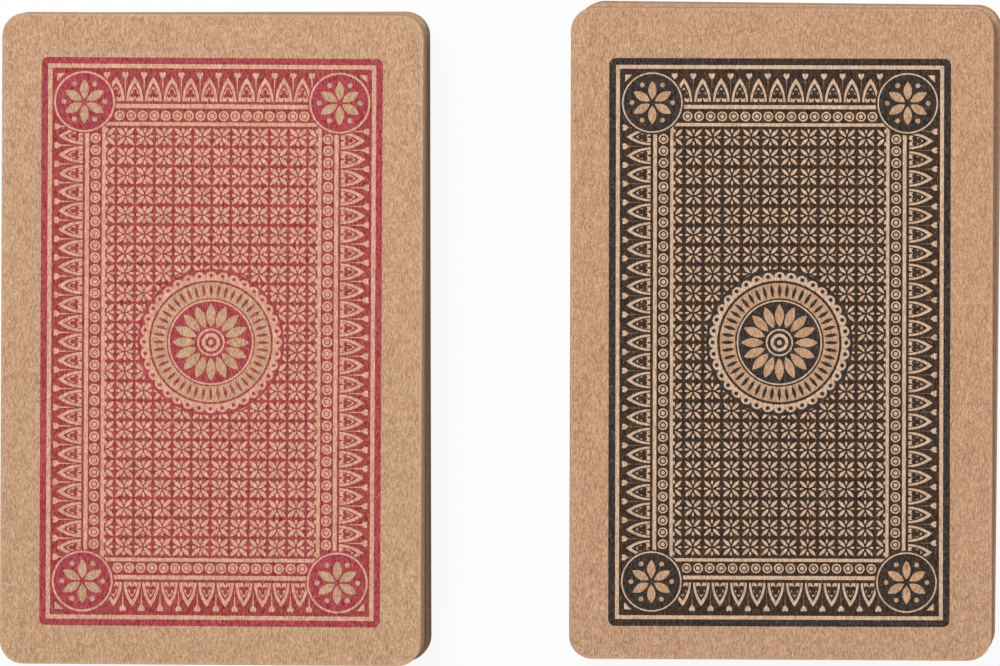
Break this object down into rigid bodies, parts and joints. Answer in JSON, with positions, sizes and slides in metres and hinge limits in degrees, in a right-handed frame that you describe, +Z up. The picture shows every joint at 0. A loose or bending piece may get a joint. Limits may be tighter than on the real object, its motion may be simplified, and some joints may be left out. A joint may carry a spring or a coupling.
{
  "type": "double deck of playing cards",
  "caption": "Double deck of bridge-size playing cards lying side by side, backs up, kraft stock with a red and a black ornamental print; the decks cut, fan out and deal.",
  "frame": {"origin": "middle of the box around both decks, on the table", "axes": "+X from the red deck to the black deck, +Y along the cards away from the viewer, +Z up out of the table"},
  "size_m": [0.1352, 0.0896, 0.0167],
  "materials": {
    "red_deck_stock": "uncoated kraft stock, matt, printed in red on the back",
    "black_deck_stock": "uncoated kraft stock, matt, printed in black on the back"
  },
  "bodies": {
    "red_lower_packet": {"red_lower_packet": "red_deck_stock"},
    "red_cut_card": {"red_cut_card": "red_deck_stock"},
    "red_fan_card_01": {"red_fan_card_01": "red_deck_stock"},
    "red_fan_card_02": {"red_fan_card_02": "red_deck_stock"},
    "red_fan_card_03": {"red_fan_card_03": "red_deck_stock"},
    "red_fan_card_04": {"red_fan_card_04": "red_deck_stock"},
    "red_fan_card_05": {"red_fan_card_05": "red_deck_stock"},
    "red_fan_card_06": {"red_fan_card_06": "red_deck_stock"},
    "red_fan_card_07": {"red_fan_card_07": "red_deck_stock"},
    "red_fan_card_08": {"red_fan_card_08": "red_deck_stock"},
    "red_fan_card_09": {"red_fan_card_09": "red_deck_stock"},
    "red_fan_card_10": {"red_fan_card_10": "red_deck_stock"},
    "red_fan_card_11": {"red_fan_card_11": "red_deck_stock"},
    "red_fan_card_12": {"red_fan_card_12": "red_deck_stock"},
    "red_fan_card_13": {"red_fan_card_13": "red_deck_stock"},
    "red_fan_card_14": {"red_fan_card_14": "red_deck_stock"},
    "red_fan_card_15": {"red_fan_card_15": "red_deck_stock"},
    "red_fan_card_16": {"red_fan_card_16": "red_deck_stock"},
    "red_fan_card_17": {"red_fan_card_17": "red_deck_stock"},
    "red_fan_card_18": {"red_fan_card_18": "red_deck_stock"},
    "red_fan_card_19": {"red_fan_card_19": "red_deck_stock"},
    "red_fan_card_20": {"red_fan_card_20": "red_deck_stock"},
    "red_fan_card_21": {"red_fan_card_21": "red_deck_stock"},
    "red_fan_card_22": {"red_fan_card_22": "red_deck_stock"},
    "red_fan_card_23": {"red_fan_card_23": "red_deck_stock"},
    "red_fan_card_24": {"red_fan_card_24": "red_deck_stock"},
    "red_fan_card_25": {"red_fan_card_25": "red_deck_stock"},
    "red_fan_card_26": {"red_fan_card_26": "red_deck_stock"},
    "red_fan_card_27": {"red_fan_card_27": "red_deck_stock"},
    "red_top_card": {"red_top_card": "red_deck_stock"},
    "black_lower_packet": {"black_lower_packet": "black_deck_stock"},
    "black_cut_card": {"black_cut_card": "black_deck_stock"},
    "black_fan_card_01": {"black_fan_card_01": "black_deck_stock"},
    "black_fan_card_02": {"black_fan_card_02": "black_deck_stock"},
    "black_fan_card_03": {"black_fan_card_03": "black_deck_stock"},
    "black_fan_card_04": {"black_fan_card_04": "black_deck_stock"},
    "black_fan_card_05": {"black_fan_card_05": "black_deck_stock"},
    "black_fan_card_06": {"black_fan_card_06": "black_deck_stock"},
    "black_fan_card_07": {"black_fan_card_07": "black_deck_stock"},
    "black_fan_card_08": {"black_fan_card_08": "black_deck_stock"},
    "black_fan_card_09": {"black_fan_card_09": "black_deck_stock"},
    "black_fan_card_10": {"black_fan_card_10": "black_deck_stock"},
    "black_fan_card_11": {"black_fan_card_11": "black_deck_stock"},
    "black_fan_card_12": {"black_fan_card_12": "black_deck_stock"},
    "black_fan_card_13": {"black_fan_card_13": "black_deck_stock"},
    "black_fan_card_14": {"black_fan_card_14": "black_deck_stock"},
    "black_fan_card_15": {"black_fan_card_15": "black_deck_stock"},
    "black_fan_card_16": {"black_fan_card_16": "black_deck_stock"},
    "black_fan_card_17": {"black_fan_card_17": "black_deck_stock"},
    "black_fan_card_18": {"black_fan_card_18": "black_deck_stock"},
    "black_fan_card_19": {"black_fan_card_19": "black_deck_stock"},
    "black_fan_card_20": {"black_fan_card_20": "black_deck_stock"},
    "black_fan_card_21": {"black_fan_card_21": "black_deck_stock"},
    "black_fan_card_22": {"black_fan_card_22": "black_deck_stock"},
    "black_fan_card_23": {"black_fan_card_23": "black_deck_stock"},
    "black_fan_card_24": {"black_fan_card_24": "black_deck_stock"},
    "black_fan_card_25": {"black_fan_card_25": "black_deck_stock"},
    "black_fan_card_26": {"black_fan_card_26": "black_deck_stock"},
    "black_fan_card_27": {"black_fan_card_27": "black_deck_stock"},
    "black_top_card": {"black_top_card": "black_deck_stock"}
  },
  "joints": [
    {"name": "black_deck_slide", "type": "slide", "parent": "red_lower_packet", "child": "black_lower_packet", "axis": [1, 0, 0], "range_m": [-0.01, 0.03]},
    {"name": "red_deck_cut", "type": "slide", "parent": "red_lower_packet", "child": "red_cut_card", "axis": [0, 0, 1], "range_m": [0, 0.06]},
    {"name": "red_fan_27", "type": "hinge", "parent": "red_cut_card", "child": "red_fan_card_27", "pos_m": [-0.02034, -0.03468, 0.012], "axis": [0, 0, 1], "range_deg": [0, 110]},
    {"name": "red_fan_26", "type": "hinge", "parent": "red_cut_card", "child": "red_fan_card_26", "pos_m": [-0.02034, -0.03468, 0.012], "axis": [0, 0, 1], "range_deg": [0, 105.94]},
    {"name": "red_fan_25", "type": "hinge", "parent": "red_cut_card", "child": "red_fan_card_25", "pos_m": [-0.02034, -0.03468, 0.012], "axis": [0, 0, 1], "range_deg": [0, 101.86]},
    {"name": "red_fan_24", "type": "hinge", "parent": "red_cut_card", "child": "red_fan_card_24", "pos_m": [-0.02034, -0.03468, 0.012], "axis": [0, 0, 1], "range_deg": [0, 97.79]},
    {"name": "red_fan_23", "type": "hinge", "parent": "red_cut_card", "child": "red_fan_card_23", "pos_m": [-0.02034, -0.03468, 0.012], "axis": [0, 0, 1], "range_deg": [0, 93.71]},
    {"name": "red_fan_22", "type": "hinge", "parent": "red_cut_card", "child": "red_fan_card_22", "pos_m": [-0.02034, -0.03468, 0.012], "axis": [0, 0, 1], "range_deg": [0, 89.64]},
    {"name": "red_fan_21", "type": "hinge", "parent": "red_cut_card", "child": "red_fan_card_21", "pos_m": [-0.02034, -0.03468, 0.012], "axis": [0, 0, 1], "range_deg": [0, 85.57]},
    {"name": "red_fan_20", "type": "hinge", "parent": "red_cut_card", "child": "red_fan_card_20", "pos_m": [-0.02034, -0.03468, 0.012], "axis": [0, 0, 1], "range_deg": [0, 81.49]},
    {"name": "red_fan_19", "type": "hinge", "parent": "red_cut_card", "child": "red_fan_card_19", "pos_m": [-0.02034, -0.03468, 0.012], "axis": [0, 0, 1], "range_deg": [0, 77.42]},
    {"name": "red_fan_18", "type": "hinge", "parent": "red_cut_card", "child": "red_fan_card_18", "pos_m": [-0.02034, -0.03468, 0.012], "axis": [0, 0, 1], "range_deg": [0, 73.34]},
    {"name": "red_fan_17", "type": "hinge", "parent": "red_cut_card", "child": "red_fan_card_17", "pos_m": [-0.02034, -0.03468, 0.012], "axis": [0, 0, 1], "range_deg": [0, 69.27]},
    {"name": "red_fan_16", "type": "hinge", "parent": "red_cut_card", "child": "red_fan_card_16", "pos_m": [-0.02034, -0.03468, 0.012], "axis": [0, 0, 1], "range_deg": [0, 65.2]},
    {"name": "red_fan_15", "type": "hinge", "parent": "red_cut_card", "child": "red_fan_card_15", "pos_m": [-0.02034, -0.03468, 0.012], "axis": [0, 0, 1], "range_deg": [0, 61.12]},
    {"name": "red_fan_14", "type": "hinge", "parent": "red_cut_card", "child": "red_fan_card_14", "pos_m": [-0.02034, -0.03468, 0.012], "axis": [0, 0, 1], "range_deg": [0, 57.05]},
    {"name": "red_fan_13", "type": "hinge", "parent": "red_cut_card", "child": "red_fan_card_13", "pos_m": [-0.02034, -0.03468, 0.012], "axis": [0, 0, 1], "range_deg": [0, 52.97]},
    {"name": "red_fan_12", "type": "hinge", "parent": "red_cut_card", "child": "red_fan_card_12", "pos_m": [-0.02034, -0.03468, 0.012], "axis": [0, 0, 1], "range_deg": [0, 48.9]},
    {"name": "red_fan_11", "type": "hinge", "parent": "red_cut_card", "child": "red_fan_card_11", "pos_m": [-0.02034, -0.03468, 0.012], "axis": [0, 0, 1], "range_deg": [0, 44.82]},
    {"name": "red_fan_10", "type": "hinge", "parent": "red_cut_card", "child": "red_fan_card_10", "pos_m": [-0.02034, -0.03468, 0.012], "axis": [0, 0, 1], "range_deg": [0, 40.75]},
    {"name": "red_fan_09", "type": "hinge", "parent": "red_cut_card", "child": "red_fan_card_09", "pos_m": [-0.02034, -0.03468, 0.012], "axis": [0, 0, 1], "range_deg": [0, 36.68]},
    {"name": "red_fan_08", "type": "hinge", "parent": "red_cut_card", "child": "red_fan_card_08", "pos_m": [-0.02034, -0.03468, 0.012], "axis": [0, 0, 1], "range_deg": [0, 32.6]},
    {"name": "red_fan_07", "type": "hinge", "parent": "red_cut_card", "child": "red_fan_card_07", "pos_m": [-0.02034, -0.03468, 0.012], "axis": [0, 0, 1], "range_deg": [0, 28.53]},
    {"name": "red_fan_06", "type": "hinge", "parent": "red_cut_card", "child": "red_fan_card_06", "pos_m": [-0.02034, -0.03468, 0.012], "axis": [0, 0, 1], "range_deg": [0, 24.45]},
    {"name": "red_fan_05", "type": "hinge", "parent": "red_cut_card", "child": "red_fan_card_05", "pos_m": [-0.02034, -0.03468, 0.012], "axis": [0, 0, 1], "range_deg": [0, 20.38]},
    {"name": "red_fan_04", "type": "hinge", "parent": "red_cut_card", "child": "red_fan_card_04", "pos_m": [-0.02034, -0.03468, 0.012], "axis": [0, 0, 1], "range_deg": [0, 16.31]},
    {"name": "red_fan_03", "type": "hinge", "parent": "red_cut_card", "child": "red_fan_card_03", "pos_m": [-0.02034, -0.03468, 0.012], "axis": [0, 0, 1], "range_deg": [0, 12.23]},
    {"name": "red_fan_02", "type": "hinge", "parent": "red_cut_card", "child": "red_fan_card_02", "pos_m": [-0.02034, -0.03468, 0.012], "axis": [0, 0, 1], "range_deg": [0, 8.16]},
    {"name": "red_fan_01", "type": "hinge", "parent": "red_cut_card", "child": "red_fan_card_01", "pos_m": [-0.02034, -0.03468, 0.012], "axis": [0, 0, 1], "range_deg": [0, 4.08]},
    {"name": "red_card_deal", "type": "slide", "parent": "red_fan_card_27", "child": "red_top_card", "axis": [0, 1, 0], "range_m": [0, 0.095]},
    {"name": "black_deck_cut", "type": "slide", "parent": "black_lower_packet", "child": "black_cut_card", "axis": [0, 0, 1], "range_m": [0, 0.06]},
    {"name": "black_fan_27", "type": "hinge", "parent": "black_cut_card", "child": "black_fan_card_27", "pos_m": [0.01968, -0.03384, 0.012], "axis": [0, 0, -1], "range_deg": [0, 110]},
    {"name": "black_fan_26", "type": "hinge", "parent": "black_cut_card", "child": "black_fan_card_26", "pos_m": [0.01968, -0.03384, 0.012], "axis": [0, 0, -1], "range_deg": [0, 105.94]},
    {"name": "black_fan_25", "type": "hinge", "parent": "black_cut_card", "child": "black_fan_card_25", "pos_m": [0.01968, -0.03384, 0.012], "axis": [0, 0, -1], "range_deg": [0, 101.86]},
    {"name": "black_fan_24", "type": "hinge", "parent": "black_cut_card", "child": "black_fan_card_24", "pos_m": [0.01968, -0.03384, 0.012], "axis": [0, 0, -1], "range_deg": [0, 97.79]},
    {"name": "black_fan_23", "type": "hinge", "parent": "black_cut_card", "child": "black_fan_card_23", "pos_m": [0.01968, -0.03384, 0.012], "axis": [0, 0, -1], "range_deg": [0, 93.71]},
    {"name": "black_fan_22", "type": "hinge", "parent": "black_cut_card", "child": "black_fan_card_22", "pos_m": [0.01968, -0.03384, 0.012], "axis": [0, 0, -1], "range_deg": [0, 89.64]},
    {"name": "black_fan_21", "type": "hinge", "parent": "black_cut_card", "child": "black_fan_card_21", "pos_m": [0.01968, -0.03384, 0.012], "axis": [0, 0, -1], "range_deg": [0, 85.57]},
    {"name": "black_fan_20", "type": "hinge", "parent": "black_cut_card", "child": "black_fan_card_20", "pos_m": [0.01968, -0.03384, 0.012], "axis": [0, 0, -1], "range_deg": [0, 81.49]},
    {"name": "black_fan_19", "type": "hinge", "parent": "black_cut_card", "child": "black_fan_card_19", "pos_m": [0.01968, -0.03384, 0.012], "axis": [0, 0, -1], "range_deg": [0, 77.42]},
    {"name": "black_fan_18", "type": "hinge", "parent": "black_cut_card", "child": "black_fan_card_18", "pos_m": [0.01968, -0.03384, 0.012], "axis": [0, 0, -1], "range_deg": [0, 73.34]},
    {"name": "black_fan_17", "type": "hinge", "parent": "black_cut_card", "child": "black_fan_card_17", "pos_m": [0.01968, -0.03384, 0.012], "axis": [0, 0, -1], "range_deg": [0, 69.27]},
    {"name": "black_fan_16", "type": "hinge", "parent": "black_cut_card", "child": "black_fan_card_16", "pos_m": [0.01968, -0.03384, 0.012], "axis": [0, 0, -1], "range_deg": [0, 65.2]},
    {"name": "black_fan_15", "type": "hinge", "parent": "black_cut_card", "child": "black_fan_card_15", "pos_m": [0.01968, -0.03384, 0.012], "axis": [0, 0, -1], "range_deg": [0, 61.12]},
    {"name": "black_fan_14", "type": "hinge", "parent": "black_cut_card", "child": "black_fan_card_14", "pos_m": [0.01968, -0.03384, 0.012], "axis": [0, 0, -1], "range_deg": [0, 57.05]},
    {"name": "black_fan_13", "type": "hinge", "parent": "black_cut_card", "child": "black_fan_card_13", "pos_m": [0.01968, -0.03384, 0.012], "axis": [0, 0, -1], "range_deg": [0, 52.97]},
    {"name": "black_fan_12", "type": "hinge", "parent": "black_cut_card", "child": "black_fan_card_12", "pos_m": [0.01968, -0.03384, 0.012], "axis": [0, 0, -1], "range_deg": [0, 48.9]},
    {"name": "black_fan_11", "type": "hinge", "parent": "black_cut_card", "child": "black_fan_card_11", "pos_m": [0.01968, -0.03384, 0.012], "axis": [0, 0, -1], "range_deg": [0, 44.82]},
    {"name": "black_fan_10", "type": "hinge", "parent": "black_cut_card", "child": "black_fan_card_10", "pos_m": [0.01968, -0.03384, 0.012], "axis": [0, 0, -1], "range_deg": [0, 40.75]},
    {"name": "black_fan_09", "type": "hinge", "parent": "black_cut_card", "child": "black_fan_card_09", "pos_m": [0.01968, -0.03384, 0.012], "axis": [0, 0, -1], "range_deg": [0, 36.68]},
    {"name": "black_fan_08", "type": "hinge", "parent": "black_cut_card", "child": "black_fan_card_08", "pos_m": [0.01968, -0.03384, 0.012], "axis": [0, 0, -1], "range_deg": [0, 32.6]},
    {"name": "black_fan_07", "type": "hinge", "parent": "black_cut_card", "child": "black_fan_card_07", "pos_m": [0.01968, -0.03384, 0.012], "axis": [0, 0, -1], "range_deg": [0, 28.53]},
    {"name": "black_fan_06", "type": "hinge", "parent": "black_cut_card", "child": "black_fan_card_06", "pos_m": [0.01968, -0.03384, 0.012], "axis": [0, 0, -1], "range_deg": [0, 24.45]},
    {"name": "black_fan_05", "type": "hinge", "parent": "black_cut_card", "child": "black_fan_card_05", "pos_m": [0.01968, -0.03384, 0.012], "axis": [0, 0, -1], "range_deg": [0, 20.38]},
    {"name": "black_fan_04", "type": "hinge", "parent": "black_cut_card", "child": "black_fan_card_04", "pos_m": [0.01968, -0.03384, 0.012], "axis": [0, 0, -1], "range_deg": [0, 16.31]},
    {"name": "black_fan_03", "type": "hinge", "parent": "black_cut_card", "child": "black_fan_card_03", "pos_m": [0.01968, -0.03384, 0.012], "axis": [0, 0, -1], "range_deg": [0, 12.23]},
    {"name": "black_fan_02", "type": "hinge", "parent": "black_cut_card", "child": "black_fan_card_02", "pos_m": [0.01968, -0.03384, 0.012], "axis": [0, 0, -1], "range_deg": [0, 8.16]},
    {"name": "black_fan_01", "type": "hinge", "parent": "black_cut_card", "child": "black_fan_card_01", "pos_m": [0.01968, -0.03384, 0.012], "axis": [0, 0, -1], "range_deg": [0, 4.08]},
    {"name": "black_card_deal", "type": "slide", "parent": "black_fan_card_27", "child": "black_top_card", "axis": [0, 1, 0], "range_m": [0, 0.095]}
  ],
  "couplings": [
    {"joint": "red_fan_26", "follows": "red_fan_27", "ratio": 0.96296},
    {"joint": "red_fan_25", "follows": "red_fan_27", "ratio": 0.92593},
    {"joint": "red_fan_24", "follows": "red_fan_27", "ratio": 0.88889},
    {"joint": "red_fan_23", "follows": "red_fan_27", "ratio": 0.85185},
    {"joint": "red_fan_22", "follows": "red_fan_27", "ratio": 0.81481},
    {"joint": "red_fan_21", "follows": "red_fan_27", "ratio": 0.77778},
    {"joint": "red_fan_20", "follows": "red_fan_27", "ratio": 0.74074},
    {"joint": "red_fan_19", "follows": "red_fan_27", "ratio": 0.7037},
    {"joint": "red_fan_18", "follows": "red_fan_27", "ratio": 0.66667},
    {"joint": "red_fan_17", "follows": "red_fan_27", "ratio": 0.62963},
    {"joint": "red_fan_16", "follows": "red_fan_27", "ratio": 0.59259},
    {"joint": "red_fan_15", "follows": "red_fan_27", "ratio": 0.55556},
    {"joint": "red_fan_14", "follows": "red_fan_27", "ratio": 0.51852},
    {"joint": "red_fan_13", "follows": "red_fan_27", "ratio": 0.48148},
    {"joint": "red_fan_12", "follows": "red_fan_27", "ratio": 0.44444},
    {"joint": "red_fan_11", "follows": "red_fan_27", "ratio": 0.40741},
    {"joint": "red_fan_10", "follows": "red_fan_27", "ratio": 0.37037},
    {"joint": "red_fan_09", "follows": "red_fan_27", "ratio": 0.33333},
    {"joint": "red_fan_08", "follows": "red_fan_27", "ratio": 0.2963},
    {"joint": "red_fan_07", "follows": "red_fan_27", "ratio": 0.25926},
    {"joint": "red_fan_06", "follows": "red_fan_27", "ratio": 0.22222},
    {"joint": "red_fan_05", "follows": "red_fan_27", "ratio": 0.18518},
    {"joint": "red_fan_04", "follows": "red_fan_27", "ratio": 0.14815},
    {"joint": "red_fan_03", "follows": "red_fan_27", "ratio": 0.11111},
    {"joint": "red_fan_02", "follows": "red_fan_27", "ratio": 0.074074},
    {"joint": "red_fan_01", "follows": "red_fan_27", "ratio": 0.037037},
    {"joint": "black_fan_26", "follows": "black_fan_27", "ratio": 0.96296},
    {"joint": "black_fan_25", "follows": "black_fan_27", "ratio": 0.92593},
    {"joint": "black_fan_24", "follows": "black_fan_27", "ratio": 0.88889},
    {"joint": "black_fan_23", "follows": "black_fan_27", "ratio": 0.85185},
    {"joint": "black_fan_22", "follows": "black_fan_27", "ratio": 0.81481},
    {"joint": "black_fan_21", "follows": "black_fan_27", "ratio": 0.77778},
    {"joint": "black_fan_20", "follows": "black_fan_27", "ratio": 0.74074},
    {"joint": "black_fan_19", "follows": "black_fan_27", "ratio": 0.7037},
    {"joint": "black_fan_18", "follows": "black_fan_27", "ratio": 0.66667},
    {"joint": "black_fan_17", "follows": "black_fan_27", "ratio": 0.62963},
    {"joint": "black_fan_16", "follows": "black_fan_27", "ratio": 0.59259},
    {"joint": "black_fan_15", "follows": "black_fan_27", "ratio": 0.55556},
    {"joint": "black_fan_14", "follows": "black_fan_27", "ratio": 0.51852},
    {"joint": "black_fan_13", "follows": "black_fan_27", "ratio": 0.48148},
    {"joint": "black_fan_12", "follows": "black_fan_27", "ratio": 0.44444},
    {"joint": "black_fan_11", "follows": "black_fan_27", "ratio": 0.40741},
    {"joint": "black_fan_10", "follows": "black_fan_27", "ratio": 0.37037},
    {"joint": "black_fan_09", "follows": "black_fan_27", "ratio": 0.33333},
    {"joint": "black_fan_08", "follows": "black_fan_27", "ratio": 0.2963},
    {"joint": "black_fan_07", "follows": "black_fan_27", "ratio": 0.25926},
    {"joint": "black_fan_06", "follows": "black_fan_27", "ratio": 0.22222},
    {"joint": "black_fan_05", "follows": "black_fan_27", "ratio": 0.18518},
    {"joint": "black_fan_04", "follows": "black_fan_27", "ratio": 0.14815},
    {"joint": "black_fan_03", "follows": "black_fan_27", "ratio": 0.11111},
    {"joint": "black_fan_02", "follows": "black_fan_27", "ratio": 0.074074},
    {"joint": "black_fan_01", "follows": "black_fan_27", "ratio": 0.037037}
  ]
}
